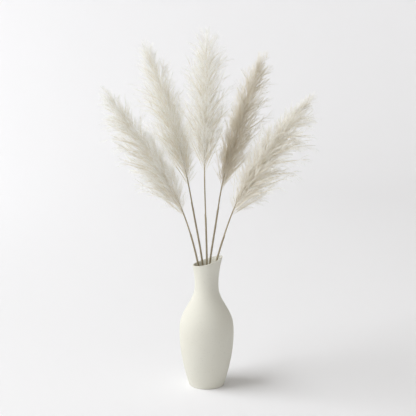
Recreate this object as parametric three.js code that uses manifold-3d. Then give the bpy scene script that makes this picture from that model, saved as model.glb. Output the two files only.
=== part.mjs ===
// A bundle of five dried pampas grass plumes standing in a bottle-shaped ceramic vase.
// Millimetres, +Z up. The origin is the centre of the vase's flat base, +X is the side where
// the slanted lip is high, and -Y is the side that the bunch is looked at from.

import * as THREE from "three";
import { mergeVertices } from "three/addons/utils/BufferGeometryUtils.js";
import Module from "manifold-3d";

// ---- Driving dimensions ----

// Vase, outside
const VASE_HEIGHT = 280; // to the point of the lip, on its high side
const BASE_RADIUS = 37;
const BASE_ROUNDING = 2;
const BELLY_RADIUS = 57.5;
const BELLY_HEIGHT = 112;
const NECK_RADIUS = 25;
const NECK_HEIGHT = 221;
const MOUTH_RADIUS = 33.5;
const BELLY_CURVE = 1.8; // 1 is a cone up to the belly, and more is a fuller barrel
const SHOULDER_CURVE = 1.16; // 1 puts the shoulder halfway, and more moves it up
const FLARE_CURVE = 1.75; // 1 is a straight cone to the mouth, and more flares late

// Vase, wall and lip
const WALL = 4.5;
const FLOOR_THICKNESS = 7;
const LIP_FALL = 0.3; // how far the lip drops for each millimetre across the mouth
const LIP_SAG = 2; // how far the lip dips below a straight slant halfway across

// Stems
const STEM_RADIUS = 2;
const STEM_TIP_RADIUS = 0.9;
const STEM_GAP = 1; // between two stems that cross in the vase
const STEM_FOOT_LIFT = 1; // from the vase's floor to the cut ends
const NODE_SWELL = 0.35; // how far the joint on a stem stands proud of it
const STEM_END = 0.95; // where the stem ends inside its plume, as a share of the whole stalk
const FIT = 0.4; // air between a stem and the plume that it carries, or the vase

// Plumes
const STALK_RISE = 482; // from the middle of the lip to the tip of the tallest plume
const PLUME_RADIUS = 46; // the widest part of a full plume, which sets how far the fan spreads
const TUFTS = 15; // side branches drawn as separate tufts on each plume
const TUFT_RADIUS = 8;
const TUFT_SHARE = 0.3; // a tuft's length, as a share of its plume's
const CORE_SHARE = 0.24; // the solid middle's radius, as a share of the plume's
const CORE_COVER = 2.4; // least material between a stem and the outside of the core
const GOLDEN_ANGLE = Math.PI * (3 - Math.sqrt(5)); // turn from one tuft to the next

// One stalk each, from left to right. `depth` counts stems from the middle one, front to back.
// `mouth` is where the stem passes the lip, as a share of the room inside it, and `foot` is the
// same on the vase's floor. `base` and `tip` are the ends of the plume, seen from the middle of
// the lip: across and back in plume radii, and up as a share of STALK_RISE. `bow` is how far the
// plume's middle is bent aside, in plume radii, and `full` is the plume's own width next to
// PLUME_RADIUS. `node` is where the stem's joint is, as a share of its length. `droop` is how far
// the tufts hang down, as a share of how far they reach out.
const STALKS = [
  { depth: -1, mouth: -0.78, foot: 0.6, base: [-0.93, -0.26, 0.203], tip: [-4.5, -0.83, 0.753],
    bow: 0.17, full: 0.96, droop: 0.1, node: 0.52 },
  { depth: 1, mouth: -0.38, foot: 0.35, base: [-0.78, 0.48, 0.315], tip: [-2.89, 1.43, 0.942],
    bow: 0.2, full: 0.96, droop: 0, node: 0.56 },
  { depth: 0, mouth: 0.03, foot: 0.02, base: [-0.09, -0.07, 0.386], tip: [0.02, -0.35, 1],
    bow: 0, full: 1, droop: 0, node: 0.5 },
  { depth: 2, mouth: 0.35, foot: -0.35, base: [0.65, 0.57, 0.303], tip: [2.63, 1.7, 0.892],
    bow: -0.11, full: 0.93, droop: 0, node: 0.54 },
  { depth: -2, mouth: 0.88, foot: -0.55, base: [1.07, -0.48, 0.212], tip: [4.61, -1.13, 0.726],
    bow: -0.26, full: 1.02, droop: 0.2, node: 0.5 },
];

// Fineness of the solids
const VASE_SIDES = 36;
const STEM_SIDES = 6;
const STEM_STEPS = 24;
const TUFT_SIDES = 5;
const TUFT_STEPS = 4;
const CORE_SIDES = 7;
const CORE_STEPS = 8;

const CERAMIC = { color: 0xe6e1d8, roughness: 0.85, metalness: 0 };
const STRAW = { color: 0x9a8b72, roughness: 0.75, metalness: 0 };
const PLUME_CREAM = { color: 0xe8e1d4, roughness: 1, metalness: 0 };

// ---- Solids from closed three.js geometry ----

const wasm = await Module();
wasm.setup();

// Merges shared vertices and drops the flat triangles at the poles of turned shapes.
function closedMesh(geometry) {
  const bare = geometry.clone();
  bare.deleteAttribute("normal");
  bare.deleteAttribute("uv");
  const merged = mergeVertices(bare);
  const corners = merged.index.array;
  const kept = [];
  for (let i = 0; i < corners.length; i += 3) {
    const [a, b, c] = [corners[i], corners[i + 1], corners[i + 2]];
    if (a !== b && b !== c && c !== a) {
      kept.push(a, b, c);
    }
  }
  merged.setIndex(kept);
  return merged;
}

function toManifold(geometry) {
  const closed = closedMesh(geometry);
  const vertProperties = new Float32Array(closed.attributes.position.array);
  const triVerts = new Uint32Array(closed.index.array);
  return new wasm.Manifold(new wasm.Mesh({ numProp: 3, vertProperties, triVerts }));
}

function fromManifold(solid) {
  const mesh = solid.getMesh();
  const geometry = new THREE.BufferGeometry();
  geometry.setAttribute("position", new THREE.BufferAttribute(mesh.vertProperties, 3));
  geometry.setIndex(new THREE.BufferAttribute(mesh.triVerts, 1));
  geometry.computeVertexNormals();
  return geometry;
}

// A turned solid whose axis is laid along a curve. `radiusAt` gives the radius at each share of
// the length, and the two ends close on the axis.
function turnedAlong(curve, radiusAt, steps, sides) {
  const profile = [new THREE.Vector2(0, 0)];
  for (let i = 0; i <= steps; i++) {
    const radius = radiusAt(i / steps);
    if (radius > 0) {
      profile.push(new THREE.Vector2(radius, i));
    }
  }
  profile.push(new THREE.Vector2(0, steps));
  const geometry = new THREE.LatheGeometry(profile, sides);
  const frames = curve.computeFrenetFrames(steps, false);
  const position = geometry.attributes.position;
  for (let i = 0; i < position.count; i++) {
    const step = Math.round(position.getY(i));
    const point = curve.getPointAt(step / steps);
    point.addScaledVector(frames.normals[step], position.getX(i));
    point.addScaledVector(frames.binormals[step], -position.getZ(i));
    position.setXYZ(i, point.x, point.y, point.z);
  }
  return geometry;
}

// ---- Vase ----

// Outer radius at a height: a barrel up to the belly, an S-shaped shoulder, then a flared neck.
function vaseRadius(z) {
  if (z <= BELLY_HEIGHT) {
    const share = 1 - z / BELLY_HEIGHT;
    return BELLY_RADIUS - (BELLY_RADIUS - BASE_RADIUS) * share ** BELLY_CURVE;
  }
  if (z <= NECK_HEIGHT) {
    const share = (z - BELLY_HEIGHT) / (NECK_HEIGHT - BELLY_HEIGHT);
    const narrowing = THREE.MathUtils.smootherstep(share ** SHOULDER_CURVE, 0, 1);
    return BELLY_RADIUS - (BELLY_RADIUS - NECK_RADIUS) * narrowing;
  }
  const share = (z - NECK_HEIGHT) / (VASE_HEIGHT - NECK_HEIGHT);
  return NECK_RADIUS + (MOUTH_RADIUS - NECK_RADIUS) * share ** FLARE_CURVE;
}

// Height of the slanted lip above the base, at a distance across the mouth.
function lipHeight(x) {
  const across = (MOUTH_RADIUS - x) / (2 * MOUTH_RADIUS);
  return VASE_HEIGHT - 2 * MOUTH_RADIUS * LIP_FALL * across - 4 * LIP_SAG * across * (1 - across);
}

function vaseSolid() {
  const above = VASE_HEIGHT + 2;
  const profile = [new THREE.Vector2(0, 0), new THREE.Vector2(BASE_RADIUS - BASE_ROUNDING, 0)];
  const outerSteps = 18;
  for (let i = 0; i <= outerSteps; i++) {
    const z = BASE_ROUNDING + ((above - BASE_ROUNDING) * i) / outerSteps;
    profile.push(new THREE.Vector2(vaseRadius(z), z));
  }
  const innerSteps = 13;
  for (let i = innerSteps; i >= 0; i--) {
    const z = FLOOR_THICKNESS + ((above - FLOOR_THICKNESS) * i) / innerSteps;
    profile.push(new THREE.Vector2(vaseRadius(z) - WALL, z));
  }
  profile.push(new THREE.Vector2(0, FLOOR_THICKNESS));
  const turned = new THREE.LatheGeometry(profile, VASE_SIDES);
  turned.rotateX(Math.PI / 2);

  // The block above the lip, whose underside is the lip's slant.
  const reach = MOUTH_RADIUS * 1.5;
  const outline = new THREE.Shape();
  outline.moveTo(-reach, lipHeight(-reach));
  const lipSteps = 12;
  for (let i = 1; i <= lipSteps; i++) {
    const x = -reach + (2 * reach * i) / lipSteps;
    outline.lineTo(x, lipHeight(x));
  }
  outline.lineTo(reach, VASE_HEIGHT * 1.3);
  outline.lineTo(-reach, VASE_HEIGHT * 1.3);
  outline.closePath();
  const block = new THREE.ExtrudeGeometry(outline, { depth: 2 * reach, bevelEnabled: false });
  block.translate(0, 0, -reach);
  block.rotateX(Math.PI / 2);
  return fromManifold(toManifold(turned).subtract(toManifold(block)));
}

// ---- Stems ----

// The line of one stalk: up from the vase's floor, through the neck, and on to the plume's tip.
function stalkLines(stalk) {
  const y = stalk.depth * (2 * STEM_RADIUS + STEM_GAP);
  // How far aside a stem can stand at a height inside the vase.
  const room = (z) => Math.sqrt((vaseRadius(z) - WALL - STEM_RADIUS - FIT) ** 2 - y * y);
  const footZ = FLOOR_THICKNESS + STEM_FOOT_LIFT + STEM_RADIUS;
  const lipZ = lipHeight(stalk.mouth * room(lipHeight(0))) - WALL;
  // The stems cross below the neck, so at the neck each is nearly as far aside as at the lip.
  const neckShare = 0.85;
  const foot = new THREE.Vector3(stalk.foot * room(footZ), y, footZ);
  const neck = new THREE.Vector3(stalk.mouth * neckShare * room(NECK_HEIGHT), y, NECK_HEIGHT);
  const lip = new THREE.Vector3(stalk.mouth * room(lipZ), y, lipZ);
  const base = fanPoint(stalk.base);
  const tip = fanPoint(stalk.tip);
  // A stem is nearly straight between the lip and its plume, so a point halfway holds it there.
  const halfway = lip.clone().lerp(base, 0.5);
  const centre = base.clone().lerp(tip, 0.5);
  centre.x += stalk.bow * PLUME_RADIUS;
  const points = [foot, neck, lip, halfway, base, centre, tip];
  const whole = new THREE.CatmullRomCurve3(points, false, "centripetal");
  return { whole, plume: partOf(whole, nearestShare(whole, base), 1) };
}

// A point of the fan, given across and back in plume radii and up as a share of the rise.
function fanPoint([across, back, up]) {
  const middle = lipHeight(0);
  return new THREE.Vector3(across * PLUME_RADIUS, back * PLUME_RADIUS, middle + up * STALK_RISE);
}

// The share of a curve's length at which it passes nearest to a point.
function nearestShare(curve, point) {
  const tries = 400;
  let best = 0;
  for (let i = 1; i <= tries; i++) {
    const nearer = curve.getPointAt(i / tries).distanceTo(point);
    if (nearer < curve.getPointAt(best).distanceTo(point)) {
      best = i / tries;
    }
  }
  return best;
}

// A smooth curve along a stretch of another one.
function partOf(curve, from, to) {
  const points = [];
  const count = 9;
  for (let i = 0; i < count; i++) {
    points.push(curve.getPointAt(from + ((to - from) * i) / (count - 1)));
  }
  return new THREE.CatmullRomCurve3(points, false, "centripetal");
}

// The stem thins towards its end and has one slightly swollen joint.
function stemRadius(share, node) {
  const taper = STEM_RADIUS + (STEM_TIP_RADIUS - STEM_RADIUS) * share ** 2;
  const swelling = Math.exp(-(((share - node) * STEM_STEPS) ** 2));
  return taper + NODE_SWELL * swelling;
}

// `extra` makes the stem that much fatter and longer, for the hole that it leaves in its plume.
function stemGeometry(lines, stalk, extra) {
  const stem = partOf(lines.whole, 0, STEM_END + extra / lines.whole.getLength());
  const radiusAt = (share) => stemRadius(share, stalk.node) + extra;
  return turnedAlong(stem, radiusAt, STEM_STEPS, STEM_SIDES);
}

// ---- Plumes ----

// Outline of a plume: a lance that swells from its base and closes at its tip.
function plumeRadius(share, stalk) {
  const swelling = Math.sin(Math.PI * THREE.MathUtils.clamp(share, 0, 1)) ** 0.7;
  return PLUME_RADIUS * stalk.full * swelling;
}

// One tuft leaves the middle, bends outwards and points along the plume.
function tuft(plume, stalk, number) {
  const end = 0.24 + (0.74 * (number + 1)) / TUFTS;
  const start = Math.max(end - TUFT_SHARE, 0.02);
  const half = (start + end) / 2;
  const turn = number * GOLDEN_ANGLE;
  const along = plume.getTangentAt(half);
  const side = new THREE.Vector3(0, 1, 0).cross(along).normalize();
  const back = along.clone().cross(side);
  const outward = side.multiplyScalar(Math.cos(turn)).addScaledVector(back, Math.sin(turn));
  const bend = plume.getPointAt(half).addScaledVector(outward, 0.72 * plumeRadius(half, stalk));
  const reach = plumeRadius(end, stalk);
  const to = plume.getPointAt(end).addScaledVector(outward, reach);
  to.z -= reach * stalk.droop;
  const line = new THREE.QuadraticBezierCurve3(plume.getPointAt(start), bend, to);
  const radiusAt = (share) => TUFT_RADIUS * Math.sin(Math.PI * (0.12 + 0.85 * share)) ** 0.8;
  return toManifold(turnedAlong(line, radiusAt, TUFT_STEPS, TUFT_SIDES));
}

function plumeSolid(lines, stalk) {
  const cover = STEM_RADIUS + NODE_SWELL + FIT + CORE_COVER;
  const coreRadius = (share) =>
    Math.max(plumeRadius(share, stalk) * CORE_SHARE, cover * (1 - 0.6 * share));
  let solid = toManifold(turnedAlong(lines.plume, coreRadius, CORE_STEPS, CORE_SIDES));
  for (let number = 0; number < TUFTS; number++) {
    solid = solid.add(tuft(lines.plume, stalk, number));
  }
  return fromManifold(solid.subtract(toManifold(stemGeometry(lines, stalk, FIT))));
}

// ---- The bunch ----

const bunch = new THREE.Group();

function addPiece(name, geometry, finish) {
  const piece = new THREE.Mesh(geometry, new THREE.MeshStandardMaterial(finish));
  piece.name = name;
  bunch.add(piece);
}

addPiece("vase", vaseSolid(), CERAMIC);
STALKS.forEach((stalk, index) => {
  const lines = stalkLines(stalk);
  addPiece(`stem_${index + 1}`, closedMesh(stemGeometry(lines, stalk, 0)), STRAW);
  addPiece(`plume_${index + 1}`, plumeSolid(lines, stalk), PLUME_CREAM);
});

export default bunch;
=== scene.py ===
"""Dried pampas grass in a ceramic vase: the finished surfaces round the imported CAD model."""

import math

import bmesh
import bpy
import numpy as np
from bpy.props import FloatProperty, FloatVectorProperty, IntProperty, PointerProperty
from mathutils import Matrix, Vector


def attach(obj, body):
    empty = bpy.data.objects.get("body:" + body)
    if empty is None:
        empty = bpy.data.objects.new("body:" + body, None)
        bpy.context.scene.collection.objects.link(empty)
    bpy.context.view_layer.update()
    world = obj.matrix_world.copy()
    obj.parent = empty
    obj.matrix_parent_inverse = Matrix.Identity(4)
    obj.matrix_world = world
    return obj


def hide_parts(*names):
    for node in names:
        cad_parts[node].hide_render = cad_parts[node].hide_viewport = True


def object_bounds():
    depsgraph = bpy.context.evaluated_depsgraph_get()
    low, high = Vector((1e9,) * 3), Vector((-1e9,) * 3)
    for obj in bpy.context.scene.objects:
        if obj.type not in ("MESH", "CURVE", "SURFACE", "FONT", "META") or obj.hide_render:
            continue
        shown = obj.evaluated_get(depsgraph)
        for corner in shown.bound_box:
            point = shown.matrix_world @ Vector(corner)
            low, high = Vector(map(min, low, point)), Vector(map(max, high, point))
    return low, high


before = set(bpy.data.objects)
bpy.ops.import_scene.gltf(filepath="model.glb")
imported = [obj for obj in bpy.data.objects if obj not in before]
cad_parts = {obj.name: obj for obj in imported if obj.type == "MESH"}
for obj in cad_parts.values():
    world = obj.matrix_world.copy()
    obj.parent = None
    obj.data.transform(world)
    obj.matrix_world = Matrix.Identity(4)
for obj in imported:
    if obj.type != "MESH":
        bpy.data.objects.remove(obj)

bl_info = {
    "name": "Pampas Grass Bunch",
    "version": (1, 0, 0),
    "blender": (4, 5, 0),
    "location": "View3D > Sidebar > Pampas",
    "description": "Builds a vase of dried pampas grass round its CAD frame",
    "category": "Add Mesh",
}

MM = 0.001
SMOOTH_ANGLE = math.radians(50)
BODY = "root"
CAD_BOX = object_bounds()
STALK_NUMBERS = range(1, 1 + sum(name.startswith("stem_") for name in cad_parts))
GOLDEN_ANGLE = math.pi * (3 - math.sqrt(5))
DOWN = np.array([0.0, 0.0, -1.0])
BACK = np.array([0.0, 1.0, 0.0])

# A rod's side takes the upper half of its map, from 0.5 at the foot to 1 at the tip. A cane starts
# to turn pale at the first of these heights, where its plume starts, and takes the second to turn.
PITH_STARTS = 0.81
PITH_FADE = 0.07
NO_PITH = 1.0

# Light has to bounce this often between the hairs before it is lost, or the plumes look dull.
SILK_BOUNCES = 24

# Branches and branchlets are near the tan colour, and a branchlet is thinner than its branch.
BRANCH_TONE = 0.2
BRANCHLET_WIDTH = 0.6

# How each plume has dried, by its number:
# - `droop` is how far a branch's tip sinks, as a share of its reach
# - `hang` is how much further branches reach under a leaning stem than above it
# - `ragged` is how unequal the branches are
# - `fluff` is how widely the silk stands out, in degrees
# - `fill` is how full the plume is next to its CAD solid
# - `tan` is how much straw colour and painted shade it shows, most on plume 4, which plume 3 shades
# - `blunt` is how full its tip is
# - `parting` is how far the silk leaves its stem bare in front, low down
HABITS = {
    1: dict(droop=0.15, hang=0.45, ragged=0.27, fluff=36, fill=0.86, tan=0.02, blunt=0.0, parting=0.7),
    2: dict(droop=0.05, hang=0.50, ragged=0.27, fluff=36, fill=0.94, tan=0.00, blunt=1.0, parting=0.85),
    3: dict(droop=0.03, hang=0.00, ragged=0.28, fluff=36, fill=1.02, tan=0.00, blunt=1.0, parting=0.3),
    # Plume 4's large tan is mostly painted shade, for the shade that plume 3 casts on it.
    4: dict(droop=0.04, hang=0.60, ragged=0.45, fluff=30, fill=0.97, tan=0.84, blunt=0.5, parting=0.7),
    5: dict(droop=0.14, hang=0.50, ragged=0.36, fluff=32, fill=0.94, tan=0.34, blunt=0.0, parting=0.6),
}


# ---- Settings that a user would change ----


def colour_setting(name, description, default):
    return FloatVectorProperty(
        name=name, description=description, default=default, min=0, max=1, size=3, subtype="COLOR"
    )


def length_setting(name, description, default):
    return FloatProperty(name=name, description=description, default=default, unit="LENGTH", precision=5)


def linear(hex_colour):
    """An sRGB hex colour as linear red, green and blue."""
    parts = [int(hex_colour[i : i + 2], 16) / 255 for i in (1, 3, 5)]
    return tuple(p / 12.92 if p <= 0.04045 else ((p + 0.055) / 1.055) ** 2.4 for p in parts)


class VaseSettings(bpy.types.PropertyGroup):
    sides: IntProperty(name="Sides", description="Faces round the vase", default=96, min=24)
    rings: IntProperty(name="Rings", description="Faces up each wall", default=64, min=16)
    lip_round: length_setting("Lip thickness", "Thickness of the rounded lip", 2.8 * MM)
    clay: colour_setting("Clay", "Colour of the bare ceramic", linear("#d6d5cb"))
    # Real sand is finer than this, and too fine to show, so it is drawn coarser.
    grain: length_setting("Grain", "Size of the sand in the clay", 2.6 * MM)


class StemSettings(bpy.types.PropertyGroup):
    sides: IntProperty(name="Sides", description="Faces round a stem", default=14, min=6)
    rings: IntProperty(name="Rings", description="Faces along a stem", default=110, min=20)
    sheath: length_setting("Sheath", "Thickness of the leaf sheath round a stem", 0.45 * MM)
    straw: colour_setting("Straw", "Lit colour of the dry stem", linear("#b0a489"))
    fibre: colour_setting("Fibre", "Dark lines along the stem", linear("#857960"))
    pith: colour_setting("Pith", "Paler colour of the stem up in its plume", linear("#ebe5d8"))
    fibre_width: length_setting("Fibre width", "Spacing of the lines along a stem", 0.8 * MM)


class PlumeSettings(bpy.types.PropertyGroup):
    branches: IntProperty(name="Branches", description="Side branches on a plume", default=160, min=20)
    branchlets: IntProperty(name="Branchlets", description="Shoots on the branches", default=2000, min=50)
    hairs: IntProperty(name="Hairs", description="Hairs on a plume", default=50000, min=1000)
    branchlet_length: length_setting("Branchlet length", "Length of a shoot on a branch", 30 * MM)
    hair_length: length_setting("Hair length", "Length of a silky hair", 8 * MM)
    hair_width: length_setting("Hair width", "Widest part of a silky hair", 0.30 * MM)
    branch_width: length_setting("Branch width", "Width of a side branch", 0.55 * MM)
    cream: colour_setting("Cream", "Colour of the hair tips", linear("#fdfefd"))
    # The tan is darker than dry straw alone, so that it also paints the shade deep in the plumes and on
    # plume 4.
    tan: colour_setting("Tan", "Colour near the stem", linear("#e2dac8"))
    seed: IntProperty(name="Seed", description="Changes how the branches fall", default=7, min=0)


class StageSettings(bpy.types.PropertyGroup):
    floor: colour_setting("Floor", "Colour of the floor and backdrop", linear("#ebebed"))
    lens: FloatProperty(name="Lens", description="Focal length in mm", default=85, min=20)
    elevation: FloatProperty(
        name="Elevation", description="How steeply the camera looks down", default=math.radians(10),
        subtype="ANGLE",
    )


class BunchSettings(bpy.types.PropertyGroup):
    vase: PointerProperty(type=VaseSettings)
    stems: PointerProperty(type=StemSettings)
    plumes: PointerProperty(type=PlumeSettings)
    stage: PointerProperty(type=StageSettings)


# ---- Materials ----


def new_material(name):
    """A named material with an empty tree but for its output."""
    material = bpy.data.materials.new(name)
    material.use_nodes = True
    material.node_tree.nodes.clear()
    return material


def add_node(material, kind, settings=None, links=None):
    """Adds a node. Settings go to its own fields or, by name, to its inputs; links feed inputs."""
    node = material.node_tree.nodes.new(kind)
    for key, value in (settings or {}).items():
        if isinstance(key, str) and hasattr(node, key):
            setattr(node, key, value)
        else:
            node.inputs[key].default_value = value
    for key, source in (links or {}).items():
        material.node_tree.links.new(source, node.inputs[key])
    return node


def colour(rgb):
    return (*rgb, 1.0)


def ceramic_material(settings):
    """Unglazed stoneware, sanded after firing: an even chalky off-white that spreads light widely,
    with a fine tooth and a faint warm cloud."""
    m = new_material("matte_stoneware")
    place = add_node(m, "ShaderNodeTexCoord").outputs["Object"]
    sandy = {"Scale": 1 / settings.grain, "Detail": 4.0}
    sand = add_node(m, "ShaderNodeTexNoise", sandy, {"Vector": place})
    cloudy = {"Scale": 1 / (60 * MM), "Detail": 3.0}
    cloud = add_node(m, "ShaderNodeTexNoise", cloudy, {"Vector": place})
    warm = tuple(c * f for c, f in zip(settings.clay, (0.97, 0.955, 0.93)))
    tint = add_node(m, "ShaderNodeMix", {"data_type": "RGBA"}, {0: cloud.outputs["Fac"]})
    tint.inputs[6].default_value = colour(settings.clay)
    tint.inputs[7].default_value = colour(warm)
    speck_range = {"From Min": 0.62, "From Max": 0.75, "To Min": 1.0, "To Max": 0.85}
    speck = add_node(m, "ShaderNodeMapRange", speck_range, {"Value": sand.outputs["Fac"]})
    shade = add_node(m, "ShaderNodeVectorMath", {"operation": "SCALE"},
                     {0: tint.outputs[2], "Scale": speck.outputs["Result"]})
    bump = add_node(m, "ShaderNodeBump", {"Strength": 0.6, "Distance": 0.35 * MM},
                    {"Height": sand.outputs["Fac"]})
    chalky = {"Roughness": 0.82, "IOR": 1.5, "Specular IOR Level": 0.3}
    skin = add_node(m, "ShaderNodeBsdfPrincipled", chalky,
                    {"Base Color": shade.outputs[0], "Normal": bump.outputs["Normal"]})
    add_node(m, "ShaderNodeOutputMaterial", None, {"Surface": skin.outputs[0]})
    return m


def straw_material(settings, name, dark, fade_from):
    """Dry grass cane: a faint waxy skin that catches a thin highlight, over fibres that run its
    length and soft lighter and darker stretches. From the height `fade_from` of its map up, the
    straw fades to the pale pith colour. `dark` scales the straw colours."""
    m = new_material(name)
    place = add_node(m, "ShaderNodeUVMap", {"uv_map": "UVMap"}).outputs["UV"]
    # The map runs once round a stem of 2 mm radius, and half a unit up a stem of about 650 mm, so
    # these scales make fibres about 40 mm long and patches about 60 mm long.
    stem_round = 2 * math.pi * 2 * MM
    fibre_scale = (stem_round / settings.fibre_width, 30.0, 1.0)
    patch_scale = (1.5, 22.0, 1.0)
    stretched = add_node(m, "ShaderNodeMapping", {"Scale": fibre_scale}, {"Vector": place})
    fibre = add_node(m, "ShaderNodeTexNoise", {"Scale": 1.0, "Detail": 5.0},
                     {"Vector": stretched.outputs[0]})
    blotch = add_node(m, "ShaderNodeMapping", {"Scale": patch_scale}, {"Vector": place})
    patch = add_node(m, "ShaderNodeTexNoise", {"Scale": 1.0, "Detail": 2.0},
                     {"Vector": blotch.outputs[0]})
    ramp = add_node(m, "ShaderNodeMapRange", {"From Min": 0.35, "From Max": 0.7},
                    {"Value": fibre.outputs["Fac"]})
    base = add_node(m, "ShaderNodeMix", {"data_type": "RGBA"}, {0: ramp.outputs["Result"]})
    base.inputs[6].default_value = colour(c * dark for c in settings.straw)
    base.inputs[7].default_value = colour(c * dark for c in settings.fibre)
    height = add_node(m, "ShaderNodeSeparateXYZ", None, {0: place})
    fade_range = {"From Min": fade_from, "From Max": fade_from + PITH_FADE}
    pale = add_node(m, "ShaderNodeMapRange", fade_range, {"Value": height.outputs["Y"]})
    faded = add_node(m, "ShaderNodeMix", {"data_type": "RGBA"},
                     {0: pale.outputs["Result"], 6: base.outputs[2]})
    faded.inputs[7].default_value = colour(settings.pith)
    tone = add_node(m, "ShaderNodeMapRange", {"To Min": 0.78, "To Max": 1.22},
                    {"Value": patch.outputs["Fac"]})
    shade = add_node(m, "ShaderNodeVectorMath", {"operation": "SCALE"},
                     {0: faded.outputs[2], "Scale": tone.outputs["Result"]})
    bump = add_node(m, "ShaderNodeBump", {"Strength": 0.5, "Distance": 0.15 * MM},
                    {"Height": fibre.outputs["Fac"]})
    skin = add_node(m, "ShaderNodeBsdfPrincipled", {"Roughness": 0.55, "IOR": 1.45},
                    {"Base Color": shade.outputs[0], "Normal": bump.outputs["Normal"]})
    add_node(m, "ShaderNodeOutputMaterial", None, {"Surface": skin.outputs[0]})
    return m


def silk_material(settings):
    """Seed silk: thin dry hairs with a soft sheen, a little tanner at the root than at the tip. Their
    near-white lets light bounce from hair to hair, which gives the plume its glow. The map's first
    coordinate is the hair's tone, which also carries the painted shade deep in a plume, and its
    second the place along it."""
    m = new_material("pampas_silk")
    place = add_node(m, "ShaderNodeUVMap", {"uv_map": "OFBake"}).outputs["UV"]
    axes = add_node(m, "ShaderNodeSeparateXYZ", None, {0: place})
    along = add_node(m, "ShaderNodeMapRange", {"From Max": 0.7, "To Min": 0.97, "To Max": 1.0},
                     {"Value": axes.outputs["Y"]})
    tone = add_node(m, "ShaderNodeMath", {"operation": "MULTIPLY", "use_clamp": True},
                    {0: axes.outputs["X"], 1: along.outputs["Result"]})
    dye = add_node(m, "ShaderNodeMix", {"data_type": "RGBA"}, {0: tone.outputs[0]})
    dye.inputs[6].default_value = colour(settings.tan)
    dye.inputs[7].default_value = colour(settings.cream)
    silk = add_node(m, "ShaderNodeBsdfPrincipled", {"Roughness": 0.6, "Specular IOR Level": 0.5},
                    {"Base Color": dye.outputs[2]})
    add_node(m, "ShaderNodeOutputMaterial", None, {"Surface": silk.outputs[0]})
    return m


def paper_material(settings):
    """Matte seamless paper, the plain pale floor and backdrop."""
    m = new_material("backdrop_paper")
    skin = add_node(m, "ShaderNodeBsdfPrincipled", {"Base Color": colour(settings.floor), "Roughness": 0.9,
                                                   "Specular IOR Level": 0.1})
    add_node(m, "ShaderNodeOutputMaterial", None, {"Surface": skin.outputs[0]})
    return m


# ---- Shapes ----


def start_fresh():
    """Leaves edit mode and deselects everything, so that the next operator acts on its own piece."""
    if bpy.context.object and bpy.context.object.mode != "OBJECT":
        bpy.ops.object.mode_set(mode="OBJECT")
    bpy.ops.object.select_all(action="DESELECT")


def finish_piece(piece, name, material, node):
    """Names a piece, gives it its material, and ties it to the frame."""
    piece.name = name
    piece.data.name = name
    piece.data.materials.clear()
    piece.data.materials.append(material)
    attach(piece, BODY)
    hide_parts(node)


def select_where(piece, wanted):
    """Selects the vertices of a piece in edit mode whose place is wanted, and nothing else."""
    mesh = bmesh.from_edit_mesh(piece.data)
    for vertex in mesh.verts:
        vertex.select = wanted(vertex.co)
    mesh.select_flush_mode()
    bmesh.update_edit_mesh(piece.data)


def vertex_places(mesh):
    places = np.empty(len(mesh.vertices) * 3, np.float32)
    mesh.vertices.foreach_get("co", places)
    return places.reshape(-1, 3).astype(float)


def move_vertices(mesh, places):
    mesh.vertices.foreach_set("co", places.astype(np.float32).ravel())
    mesh.update()


def unit(vectors):
    return vectors / np.maximum(np.linalg.norm(vectors, axis=-1, keepdims=True), 1e-12)


def eased(share):
    share = np.clip(share, 0, 1)
    return share * share * (3 - 2 * share)


def through(wanted, marks, values):
    """A smooth curve through a few measured points, read at the wanted marks."""
    slopes = np.gradient(values, marks)
    i = np.clip(np.searchsorted(marks, wanted) - 1, 0, len(marks) - 2)
    gap = marks[i + 1] - marks[i]
    t = np.clip((wanted - marks[i]) / gap, 0, 1)
    start = (1 + 2 * t) * (1 - t) ** 2 * values[i] + t * (1 - t) ** 2 * gap * slopes[i]
    end = t * t * (3 - 2 * t) * values[i + 1] + t * t * (t - 1) * gap * slopes[i + 1]
    return start + end


class StalkLine:
    """The middle of one stalk, read from its CAD stem and plume, as a smooth curve."""

    def __init__(self, number):
        places = np.unique(np.round(vertex_places(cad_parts[f"stem_{number}"].data), 6), axis=0)
        places = places[np.argsort(places[:, 2])]
        rings = np.split(places, np.nonzero(np.diff(places[:, 2]) > 5 * MM)[0] + 1)
        middles = np.array([ring.mean(0) for ring in rings])
        self.radii = np.array([np.linalg.norm(r - m, axis=1).max() for r, m in zip(rings, middles)])
        plume = vertex_places(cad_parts[f"plume_{number}"].data)
        tip = plume[np.argmax(np.linalg.norm(plume - middles[0], axis=1))]
        self.points = np.vstack([middles, tip])
        steps = np.linalg.norm(np.diff(self.points, axis=0), axis=1)
        self.marks = np.concatenate([[0], np.cumsum(steps)])
        self.length = self.marks[-1]
        self.stem_length = self.marks[-2]
        self.plume_start = self.nearest(plume[np.argmin(plume[:, 2])])
        along = np.linspace(self.plume_start, self.length, 60)
        self.plume_radius = np.linalg.norm(plume[:, None] - self.at(along)[None], axis=2).min(1).max()

    def nearest(self, point):
        along = np.linspace(0, self.length, 400)
        return along[np.argmin(np.linalg.norm(self.at(along) - point, axis=1))]

    def at(self, along):
        along = np.clip(along, 0, self.length)
        return np.stack([through(along, self.marks, self.points[:, axis]) for axis in range(3)], -1)

    def frame_at(self, along):
        """Place, direction, and the two directions across the line."""
        step = 4 * MM
        direction = unit(self.at(along + step) - self.at(along - step))
        side = unit(np.cross(BACK, direction))
        return self.at(along), direction, side, np.cross(direction, side)

    def joint(self):
        """Where the stem's swollen joint is: the ring that stands out most from its neighbours."""
        swell = self.radii[1:-1] - (self.radii[:-2] + self.radii[2:]) / 2
        low, high = 3, len(swell) - 3
        return self.marks[1 + low + np.argmax(swell[low:high])]


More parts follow.
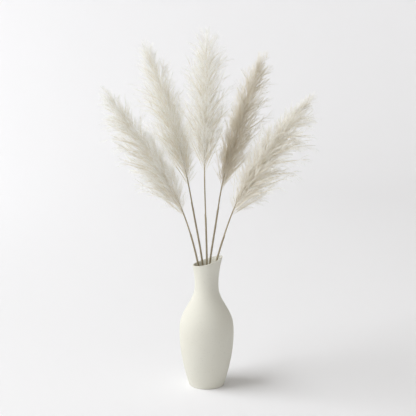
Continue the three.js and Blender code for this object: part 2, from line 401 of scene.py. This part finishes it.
def unit_rod(sides, rings, filled=True):
    """A round rod of radius 1 from height 0 to height 1, with a ring of points at each step."""
    start_fresh()
    cap = "TRIFAN" if filled else "NOTHING"
    bpy.ops.mesh.primitive_cylinder_add(vertices=sides, radius=1, depth=1, location=(0, 0, 0.5),
                                        end_fill_type=cap)
    bpy.ops.object.transform_apply(location=True, rotation=True, scale=True)
    bpy.ops.object.mode_set(mode="EDIT")
    for number in range(1, rings):
        bpy.ops.mesh.select_all(action="SELECT")
        bpy.ops.mesh.bisect(plane_co=(0, 0, number / rings), plane_no=(0, 0, 1))
    bpy.ops.object.mode_set(mode="OBJECT")
    return bpy.context.object


def lay_along(piece, line, start, end, radius_at):
    """Moves a straight unit rod's vertices onto a stretch of a stalk's line."""
    places = vertex_places(piece.data)
    share = places[:, 2]
    middle, _, side, back = line.frame_at(start + (end - start) * share)
    radius = radius_at(share, np.arctan2(places[:, 1], places[:, 0]))[:, None]
    move_vertices(piece.data, middle + radius * (places[:, :1] * side + places[:, 1:2] * back))


# ---- Vase ----


def turned_walls():
    """The vase's outer and inner profiles as heights and radii, and its lip as places across the
    mouth and heights, read from the CAD node."""
    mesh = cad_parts["vase"].data
    places = vertex_places(mesh)
    radius = np.hypot(places[:, 0], places[:, 1])
    facing = np.zeros(len(places))
    upward = np.zeros(len(places))
    for face in mesh.polygons:
        middle = face.center
        outward = (face.normal.x * middle.x + face.normal.y * middle.y) / math.hypot(middle.x, middle.y)
        for vertex in face.vertices:
            facing[vertex] = outward
            upward[vertex] = face.normal.z
    walls = []
    for wall in (facing > 0.3, facing < -0.3):
        heights, index = np.unique(np.round(places[wall, 2], 5), return_inverse=True)
        count = np.bincount(index)
        mean = np.bincount(index, radius[wall]) / count
        whole = (count > 12) & (heights > 1 * MM)
        walls.append([heights[whole], mean[whole]])
    lip = (upward > 0.5) & (places[:, 2] > 0.8 * places[:, 2].max())
    across, index = np.unique(np.round(places[lip, 0], 5), return_inverse=True)
    heights = np.bincount(index, places[lip, 2]) / np.bincount(index)
    top = np.argmax(places[:, 2])
    walls[0][0] = np.append(walls[0][0], places[top, 2])
    walls[0][1] = np.append(walls[0][1], radius[top])
    return walls[0], walls[1], (across, heights)


def vase_rings(settings):
    """Radius and height of every ring, from the middle of the base, up outside, over the lip and
    down inside, for a vase whose lip is level."""
    outer, inner, _ = turned_walls()
    wall = outer[1][3] - np.interp(outer[0][3], *inner)
    top = outer[0][-1]
    floor = inner[0][0]
    half = settings.lip_round / 2
    bend, foot = outer[0][0], outer[1][0]
    thinning = 12 * MM
    inner_round = 8 * MM

    # The base, and the small round up to the outer wall.
    rings = [((foot - bend) * share, 0.0) for share in (0.35, 0.7, 1.0)]
    for a in np.linspace(0, 1, 5)[1:] * math.pi / 2:
        rings.append((foot - bend * (1 - math.sin(a)), bend * (1 - math.cos(a))))

    # The outer wall, the lip, and the inner wall, which thins towards the lip.
    heights = np.linspace(bend, top - half, settings.rings)[1:]
    rings += list(zip(through(heights, *outer), heights))
    lip_radius = through(np.array([top]), *outer)[0] - half
    for a in np.linspace(0, math.pi, 9)[1:-1]:
        rings.append((lip_radius + half * math.cos(a), top - half + half * math.sin(a)))
    heights = np.linspace(top - half, floor + inner_round, settings.rings)
    walls = settings.lip_round + (wall - settings.lip_round) * eased((top - heights) / thinning)
    rings += list(zip(through(heights, *outer) - walls, heights))

    # The round down to the floor, and the floor.
    corner = rings[-1][0]
    for a in np.linspace(0, math.pi / 2, 6)[1:]:
        rings.append((corner - inner_round * (1 - math.cos(a)), floor + inner_round * (1 - math.sin(a))))
    rings += [(corner * share, floor) for share in (0.6, 0.3)]
    return rings


class BUNCH_OT_vase(bpy.types.Operator):
    """Raise the vase ring by ring from its base, turn it in at the lip, and slant the lip"""

    bl_idname = "bunch.add_vase"
    bl_label = "Vase"

    def execute(self, context):
        settings = context.scene.bunch.vase
        rings = vase_rings(settings)
        start_fresh()
        bpy.ops.mesh.primitive_circle_add(vertices=settings.sides, radius=rings[0][0], fill_type="TRIFAN")
        bpy.ops.object.mode_set(mode="EDIT")
        bpy.ops.mesh.select_all(action="SELECT")
        bpy.ops.mesh.flip_normals()
        bpy.ops.mesh.region_to_loop()
        for (before, low), (after, high) in zip(rings, rings[1:]):
            bpy.ops.mesh.extrude_region_move(TRANSFORM_OT_translate={"value": (0, 0, high - low)})
            grow = after / before
            bpy.ops.transform.resize(value=(grow, grow, 1), center_override=(0, 0, high))
        bpy.ops.mesh.edge_face_add()
        bpy.ops.mesh.poke()
        bpy.ops.mesh.select_all(action="SELECT")
        bpy.ops.mesh.normals_make_consistent(inside=False)
        bpy.ops.object.mode_set(mode="OBJECT")
        bpy.ops.object.shade_smooth_by_angle(angle=SMOOTH_ANGLE)
        piece = bpy.context.object
        slant_lip(piece)
        finish_piece(piece, "vase_body", ceramic_material(settings), "vase")
        return {"FINISHED"}


def slant_lip(piece):
    """Lowers the neck's rings towards the low side of the lip, keeping the wall's profile."""
    outer, _, lip = turned_walls()
    top = outer[0][-1]
    upper = outer[0] > 0.5 * top
    neck = outer[0][upper][np.argmin(outer[1][upper])]
    places = vertex_places(piece.data)
    radius = np.hypot(places[:, 0], places[:, 1])
    turn = np.arctan2(places[:, 1], places[:, 0])
    height = places[:, 2]
    inset = through(np.clip(height, 0, top), *outer) - radius
    pull = eased((height - neck) / (top - neck))
    lowered = height.copy()
    new_radius = radius.copy()
    for _ in range(6):
        drop = top - np.interp(new_radius * np.cos(turn), *lip)
        lowered = height - drop * pull
        new_radius = np.where(pull > 0, through(np.clip(lowered, 0, top), *outer) - inset, radius)
    moved = np.stack([new_radius * np.cos(turn), new_radius * np.sin(turn), lowered], -1)
    move_vertices(piece.data, moved)


# ---- Stems ----


class BUNCH_OT_stems(bpy.types.Operator):
    """Lay a cane along each stalk, with a dry leaf sheath round its lower part"""

    bl_idname = "bunch.add_stems"
    bl_label = "Stems"

    def execute(self, context):
        settings = context.scene.bunch.stems
        cane = straw_material(settings, "dry_cane", dark=1.0, fade_from=PITH_STARTS)
        husk = straw_material(settings, "dry_leaf_sheath", dark=0.85, fade_from=NO_PITH)
        for number in STALK_NUMBERS:
            line = StalkLine(number)
            add_stem(settings, line, number, cane)
            add_sheath(settings, line, number, husk)
        return {"FINISHED"}


def stem_radius(line, along):
    """The CAD stem's own radius, without its swollen joint, a little inside its flat sides."""
    inside = 0.99
    foot, tip = line.radii[1], line.radii[-2]
    return inside * (foot + (tip - foot) * (along / line.stem_length) ** 2)


def add_stem(settings, line, number, material):
    """The bare cane: five faint ribs, a swollen joint, a little thinner past it, and tapering to
    about half inside its plume."""
    piece = unit_rod(settings.sides, settings.rings)
    joint = line.joint()

    def radius_at(share, turn):
        along = share * line.stem_length
        ribs = 1 + 0.035 * np.cos(5 * turn + number)
        ring = 0.22 * MM * np.exp(-(((along - joint) / (1.6 * MM)) ** 2))
        past_joint = eased((along - joint) / (6 * MM))
        in_plume = eased((along - line.plume_start) / (120 * MM))
        thinner = 1 - 0.05 * past_joint - 0.45 * in_plume
        return (stem_radius(line, along) - 0.15 * MM) * thinner * ribs + ring

    lay_along(piece, line, 0, line.stem_length, radius_at)
    bpy.ops.object.shade_smooth_by_angle(angle=SMOOTH_ANGLE)
    finish_piece(piece, f"stem_{number}_cane", material, f"stem_{number}")


def add_sheath(settings, line, number, material):
    """A thin leaf base wrapped round the cane from its foot, ending in a slanted torn edge at the
    joint, where it flares a little."""
    piece = unit_rod(settings.sides, settings.rings // 2, filled=False)
    joint = line.joint()
    places = vertex_places(piece.data)
    turn = np.arctan2(places[:, 1], places[:, 0])
    tear = 1 + 0.02 * np.cos(turn + 1.3 * number) + 0.006 * np.sin(3 * turn)
    places[:, 2] *= tear
    move_vertices(piece.data, places)

    def radius_at(share, turn):
        along = share * joint
        flare = 0.25 * MM * eased((share - 0.97) / 0.05)
        return stem_radius(line, along) - 0.25 * MM + flare

    lay_along(piece, line, 4 * MM, joint, radius_at)
    wall = piece.modifiers.new("wall", "SOLIDIFY")
    wall.thickness = settings.sheath
    wall.offset = 1
    bpy.ops.object.modifier_apply(modifier=wall.name)
    bpy.ops.object.shade_smooth_by_angle(angle=SMOOTH_ANGLE)
    finish_piece(piece, f"stem_{number}_sheath", material, f"stem_{number}")


# ---- Plumes ----


def hair_pattern():
    """One silky hair, modelled once: a closed three-sided blade that is widest near its root, as
    vertex places (two across, one along) and triangles."""
    start_fresh()
    bpy.ops.mesh.primitive_cone_add(vertices=3, radius1=1, radius2=0, depth=1, location=(0, 0, 0.5))
    bpy.ops.object.transform_apply(location=True, rotation=True, scale=True)
    hair = bpy.context.object
    bpy.ops.object.mode_set(mode="EDIT")
    select_where(hair, lambda place: place.z < 0.5 and place.y < 0.9)
    bpy.ops.transform.translate(value=(0, 0.5, 0.4))
    bpy.ops.transform.resize(value=(1 / math.sqrt(0.75), 1, 1), center_override=(0, 0, 0))
    select_where(hair, lambda place: place.y > 0.9)
    bpy.ops.transform.translate(value=(0, -1, 0))
    bpy.ops.object.mode_set(mode="OBJECT")
    places = vertex_places(hair.data)
    corners = np.array([face.vertices[:] for face in hair.data.polygons])
    bpy.ops.object.delete()
    return places, corners


def bezier(ends, share):
    """Points on curves with three control points each, and the directions there."""
    t = share[..., None]
    first, second, third = ends
    place = (1 - t) ** 2 * first + 2 * t * (1 - t) * second + t * t * third
    direction = unit((1 - t) * (second - first) + t * (third - second))
    return place, direction


def copy_along(name, pattern, ends, width, tone):
    """A mesh of many copies of a pattern, one bent along each curve, with the tone and the place
    along the curve as its map."""
    places, corners = pattern
    share = np.broadcast_to(places[:, 2], (len(width), len(places)))
    middle, direction = bezier([end[:, None, :] for end in ends], share)
    helper = np.where(np.abs(direction[..., 2:]) < 0.9, np.array([0, 0, 1.0]), np.array([1.0, 0, 0]))
    side = unit(np.cross(helper, direction))
    other = np.cross(direction, side)
    radius = width[:, None, None] / 2
    spots = middle + radius * (places[:, 0, None] * side + places[:, 1, None] * other)
    count = len(width)
    faces = corners[None] + np.arange(count)[:, None, None] * len(places)
    faces = faces.reshape(-1, 3)

    mesh = bpy.data.meshes.new(name)
    mesh.vertices.add(count * len(places))
    mesh.vertices.foreach_set("co", spots.astype(np.float32).ravel())
    mesh.loops.add(faces.size)
    mesh.loops.foreach_set("vertex_index", faces.astype(np.int32).ravel())
    mesh.polygons.add(len(faces))
    mesh.polygons.foreach_set("loop_start", np.arange(0, faces.size, 3, dtype=np.int32))
    mesh.polygons.foreach_set("use_smooth", np.zeros(len(faces), bool))
    mesh.update(calc_edges=True)

    across = 0.05 + 0.9 * np.clip(tone, 0, 1)[:, None] + 0.02 * places[None, :, 0]
    along = np.broadcast_to(0.02 + 0.96 * places[:, 2], across.shape)
    spread = np.stack([across, along], -1).reshape(-1, 2)[faces.ravel()]
    layer = mesh.uv_layers.new(name="OFBake")
    layer.data.foreach_set("uv", spread.astype(np.float32).ravel())
    piece = bpy.data.objects.new(name, mesh)
    bpy.context.scene.collection.objects.link(piece)
    return piece


def outline(share):
    """Half-width of a plume along its length, as a share of its widest."""
    return np.sin(math.pi * np.clip(share, 0.0, 1.0)) ** 0.7


def branch_curves(line, habit, settings, rng):
    """Control points of the side branches: each leaves the stem steeply, arches away and hangs.
    With them comes the share of silk that each bears. `start` and `end` are where a branch leaves
    the stem and how high it reaches, as shares of the plume's length."""
    count = settings.branches
    number = np.arange(count)
    plume_length = line.length - line.plume_start
    start = 0.88 * ((number + rng.random(count)) / count) ** 1.2
    span = (0.27 - 0.17 * start) * (1 + 0.4 * habit["ragged"] * rng.normal(0, 1, count))
    end = np.minimum(start + np.clip(span, 0.06, 0.4), 0.99)
    turn = number * GOLDEN_ANGLE + rng.normal(0, 0.3, count)
    root = line.at(line.plume_start + start * plume_length)
    middle, ahead, side, back = line.frame_at(line.plume_start + 0.5 * (start + end) * plume_length)
    outward = np.cos(turn)[:, None] * side + np.sin(turn)[:, None] * back

    # Branches reach further on the underside of a lean, and less to the front and the back.
    under = DOWN - (ahead @ DOWN)[:, None] * ahead
    hang = 1 + habit["hang"] * np.sum(outward * under, 1)
    reach = line.plume_radius * habit["fill"] * (1 - habit["ragged"] * rng.uniform(-0.3, 1.4, count))
    depth = 1 - 0.55 * (outward @ BACK) ** 2
    reach = reach * outline((1.01 - 0.07 * habit["blunt"]) * end) * hang * depth
    tip = line.at(line.plume_start + end * plume_length)
    tip = tip + outward * reach[:, None] + DOWN * (habit["droop"] * reach)[:, None]
    bend = middle + outward * (0.38 * reach)[:, None]

    # Low down in front the silk parts over the stem.
    front = np.clip(-outward @ BACK, 0, 1) * (1 - eased((start - 0.05) / 0.25))
    return (root, bend, tip), 1 - habit["parting"] * front


def shoots_on(parents, weights, count, angles, sweep, sag, rng):
    """Places side shoots on curves: where each starts, its heading, and how it ends for a length of
    one. A shoot sweeps forward along its parent as it grows, and sags."""
    lengths = np.linalg.norm(parents[2] - parents[0], axis=1) * weights
    owner = rng.choice(len(lengths), count, p=lengths / lengths.sum())
    share = 0.06 + 0.94 * rng.random(count) ** 0.8
    base, forward = bezier([end[owner] for end in parents], share)
    side = unit(np.cross(forward, rng.normal(size=(count, 3))))
    angle = np.radians(rng.uniform(*angles, count))[:, None]
    heading = forward * np.cos(angle) + side * np.sin(angle)
    ending = unit(heading + sweep * forward + sag * DOWN + rng.normal(0, 0.1, (count, 3)))
    return owner, share, base, heading, ending


def shoot_curves(base, heading, ending, length):
    """Control points of shoots that leave their base along one heading and end along another."""
    length = length[:, None]
    middle = base + 0.5 * length * heading
    return base, middle, middle + 0.5 * length * ending


def silk_on(branches, weights, line, habit, settings, rng):
    """Branchlets on the branches, and silky hairs on the branchlets, with each hair's width and tone.
    Towards the plume's tip both get shorter and lie closer to the stem."""
    stem_places = line.at(np.linspace(line.plume_start, line.length, 60))[None]
    count = settings.branchlets
    sag = 0.1 + 1.2 * habit["droop"]
    angles = (0.6 * habit["fluff"], 1.25 * habit["fluff"])
    _, share, base, heading, ending = shoots_on(branches, weights, count, angles, 0.5, sag, rng)
    height = np.linalg.norm(base[:, None] - stem_places, axis=2).argmin(1) / stem_places.shape[1]
    narrow = 1 - 0.48 * eased((height - 0.7) / 0.3)
    heading = unit(heading * narrow[:, None] + (1 - narrow)[:, None] * ending)
    length = settings.branchlet_length * rng.uniform(0.6, 1.15, count) * narrow * (1.1 - 0.35 * share)
    branchlets = shoot_curves(base, heading, ending, length)
    tint = rng.random(count)

    count = settings.hairs
    angles = (0.1 * habit["fluff"], 0.5 * habit["fluff"])
    even = np.ones(len(length))
    owner, _, base, heading, ending = shoots_on(branchlets, even, count, angles, 0.4, sag, rng)
    length = settings.hair_length * rng.uniform(0.6, 1.25, count) * (0.55 + 0.45 * narrow[owner])
    hairs = shoot_curves(base, heading, ending, length)
    width = settings.hair_width * rng.uniform(0.75, 1.2, count)

    # Hairs near the stem and low on the plume are darker: partly their straw colour and partly painted
    # shade in the plume's core. A little straw colour shows at random on every branchlet.
    depth = np.linalg.norm(base[:, None] - stem_places, axis=2).min(1) / line.plume_radius
    straw = habit["tan"] * (1.2 - depth) * (1.25 - 0.8 * height[owner])
    tone = 1 - straw - 0.12 * tint[owner] ** 2 + rng.normal(0, 0.03, count)
    return branchlets, hairs, width, tone


class BUNCH_OT_plumes(bpy.types.Operator):
    """Grow each plume: side branches round the stem, and silky hairs on every branch"""

    bl_idname = "bunch.add_plumes"
    bl_label = "Plumes"

    def execute(self, context):
        settings = context.scene.bunch.plumes
        silk = silk_material(settings)
        pattern = hair_pattern()
        for number in STALK_NUMBERS:
            rng = np.random.default_rng([settings.seed, number])
            line = StalkLine(number)
            habit = HABITS[number]
            branches, weights = branch_curves(line, habit, settings, rng)
            branchlets, curves, width, tone = silk_on(branches, weights, line, habit, settings, rng)
            twigs = [np.vstack(pair) for pair in zip(branches, branchlets)]
            thick = np.full(len(twigs[0]), settings.branch_width)
            thick[settings.branches:] *= BRANCHLET_WIDTH
            wood = copy_along("branches", pattern, twigs, thick, np.full(len(thick), BRANCH_TONE))
            finish_piece(wood, f"plume_{number}_branches", silk, f"plume_{number}")
            for half, keep in enumerate((slice(0, None, 2), slice(1, None, 2))):
                piece = copy_along("hairs", pattern, [c[keep] for c in curves], width[keep], tone[keep])
                finish_piece(piece, f"plume_{number}_silk_{half + 1}", silk, f"plume_{number}")
        return {"FINISHED"}


# ---- Stage ----


def area_light(name, place, target, size, watts, tint):
    bpy.ops.object.light_add(type="AREA", location=place)
    lamp = bpy.context.object
    lamp.name = name
    lamp.rotation_euler = (Vector(target) - Vector(place)).to_track_quat("-Z", "Y").to_euler()
    lamp.data.shape = "DISK"
    lamp.data.size = size
    lamp.data.energy = watts
    lamp.data.color = tint
    lamp.visible_camera = False


class BUNCH_OT_stage(bpy.types.Operator):
    """Set the pale floor that curves up all round, the soft lights and the camera"""

    bl_idname = "bunch.add_stage"
    bl_label = "Stage"

    def execute(self, context):
        settings = context.scene.bunch.stage
        start_fresh()
        flat, rise, steps = 2.6, 3.0, 24
        bpy.ops.mesh.primitive_circle_add(vertices=96, radius=flat, fill_type="TRIFAN")
        bpy.ops.object.mode_set(mode="EDIT")
        bpy.ops.mesh.select_all(action="SELECT")
        bpy.ops.mesh.region_to_loop()
        before, low = flat, 0.0
        for step in range(1, steps + 1):
            turn = step / steps * math.pi / 2
            after, high = flat + rise * math.sin(turn), rise * (1 - math.cos(turn))
            bpy.ops.mesh.extrude_region_move(TRANSFORM_OT_translate={"value": (0, 0, high - low)})
            grow = after / before
            bpy.ops.transform.resize(value=(grow, grow, 1), center_override=(0, 0, high))
            before, low = after, high
        bpy.ops.object.mode_set(mode="OBJECT")
        bpy.ops.object.shade_smooth()
        floor = bpy.context.object
        floor.name = "backdrop"
        floor.data.materials.append(paper_material(settings))
        area_light("key_softbox", (-4.8, -0.7, 4.9), (0, 0.1, 0.35), 6.4, 480, (0.965, 0.98, 1.0))
        area_light("low_fill", (-3.4, -1.6, 0.9), (0, 0, 0.45), 1.6, 9, (0.99, 0.985, 0.98))
        area_light("wall_wash", (-2.6, 2.0, 2.4), (-1.8, 4.5, 1.4), 1.5, 22, (0.98, 0.985, 1.0))
        world = bpy.data.worlds.new("studio_air")
        world.use_nodes = True
        world.node_tree.nodes["Background"].inputs["Color"].default_value = (1, 0.957, 0.865, 1)
        world.node_tree.nodes["Background"].inputs["Strength"].default_value = 0.38
        context.scene.world = world
        context.scene.view_settings.view_transform = "Standard"
        context.scene.cycles.max_bounces = SILK_BOUNCES
        context.scene.cycles.diffuse_bounces = SILK_BOUNCES
        self.add_camera(context, settings)
        return {"FINISHED"}

    def add_camera(self, context, settings):
        """Aims the camera at the middle of the bunch from a fixed distance, looking down at the set
        elevation.
        """
        low, high = CAD_BOX
        target = Vector((3 * MM, 0, 0.5 * (low[2] + high[2]) + 7 * MM))
        away = 2.04
        back = Vector((0, -math.cos(settings.elevation), math.sin(settings.elevation)))
        bpy.ops.object.camera_add(location=target + away * back)
        camera = bpy.context.object
        camera.name = "camera"
        camera.rotation_euler = (-back).to_track_quat("-Z", "Y").to_euler()
        camera.data.lens = settings.lens
        camera.data.sensor_width = 36
        context.scene.camera = camera


class BUNCH_PT_panel(bpy.types.Panel):
    """Buttons that build the bunch, and its settings"""

    bl_idname = "BUNCH_PT_panel"
    bl_label = "Pampas Grass Bunch"
    bl_space_type = "VIEW_3D"
    bl_region_type = "UI"
    bl_category = "Pampas"

    def draw(self, context):
        for name, operator in (("vase", BUNCH_OT_vase), ("stems", BUNCH_OT_stems),
                               ("plumes", BUNCH_OT_plumes), ("stage", BUNCH_OT_stage)):
            box = self.layout.box()
            box.operator(operator.bl_idname)
            settings = getattr(context.scene.bunch, name)
            for field in settings.bl_rna.properties:
                if not field.is_readonly and field.identifier != "name":
                    box.prop(settings, field.identifier)


CLASSES = (
    VaseSettings, StemSettings, PlumeSettings, StageSettings, BunchSettings,
    BUNCH_OT_vase, BUNCH_OT_stems, BUNCH_OT_plumes, BUNCH_OT_stage, BUNCH_PT_panel,
)


def register():
    for each in CLASSES:
        bpy.utils.register_class(each)
    bpy.types.Scene.bunch = PointerProperty(type=BunchSettings)


def unregister():
    del bpy.types.Scene.bunch
    for each in reversed(CLASSES):
        bpy.utils.unregister_class(each)


def main():
    register()
    bpy.ops.bunch.add_stage()
    bpy.ops.bunch.add_vase()
    bpy.ops.bunch.add_stems()
    bpy.ops.bunch.add_plumes()


if __name__ == "__main__":
    main()
